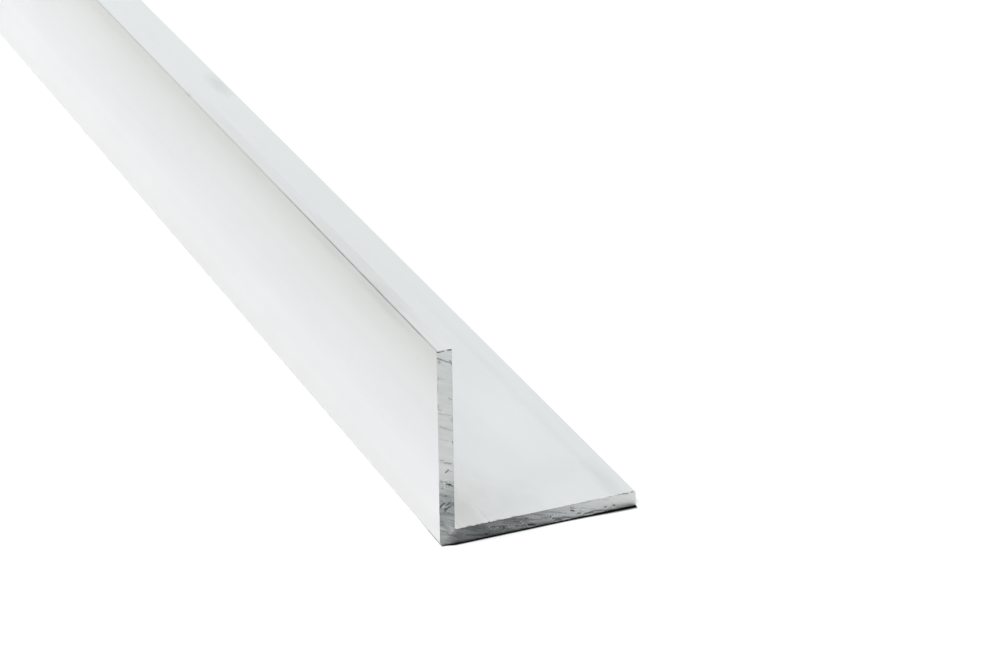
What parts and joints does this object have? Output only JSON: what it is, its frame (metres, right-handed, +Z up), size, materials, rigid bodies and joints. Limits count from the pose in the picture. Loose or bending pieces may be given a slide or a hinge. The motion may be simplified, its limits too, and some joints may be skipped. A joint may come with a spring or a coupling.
{
  "type": "aluminium angle profile",
  "caption": "Equal-leg aluminium angle bar, extruded straight with an even wall and saw-cut square at both ends, for framing, edging, corner trim and brackets.",
  "frame": {"origin": "at floor level under the middle of the bar's bounding box, half way along its length and half way across the flat leg", "axes": "+Z up; +Y along the bar's length; the flat leg runs from the heel at -X to its toe at +X; the upright leg stands on the -X side"},
  "size_m": [0.04, 1, 0.04],
  "materials": {
    "mill_aluminium": "mill finish, satin, with die lines and rubbed marks; bright saw-cut ends"
  },
  "bodies": {
    "root": {"angle_bar": "mill_aluminium"}
  },
  "joints": []
}
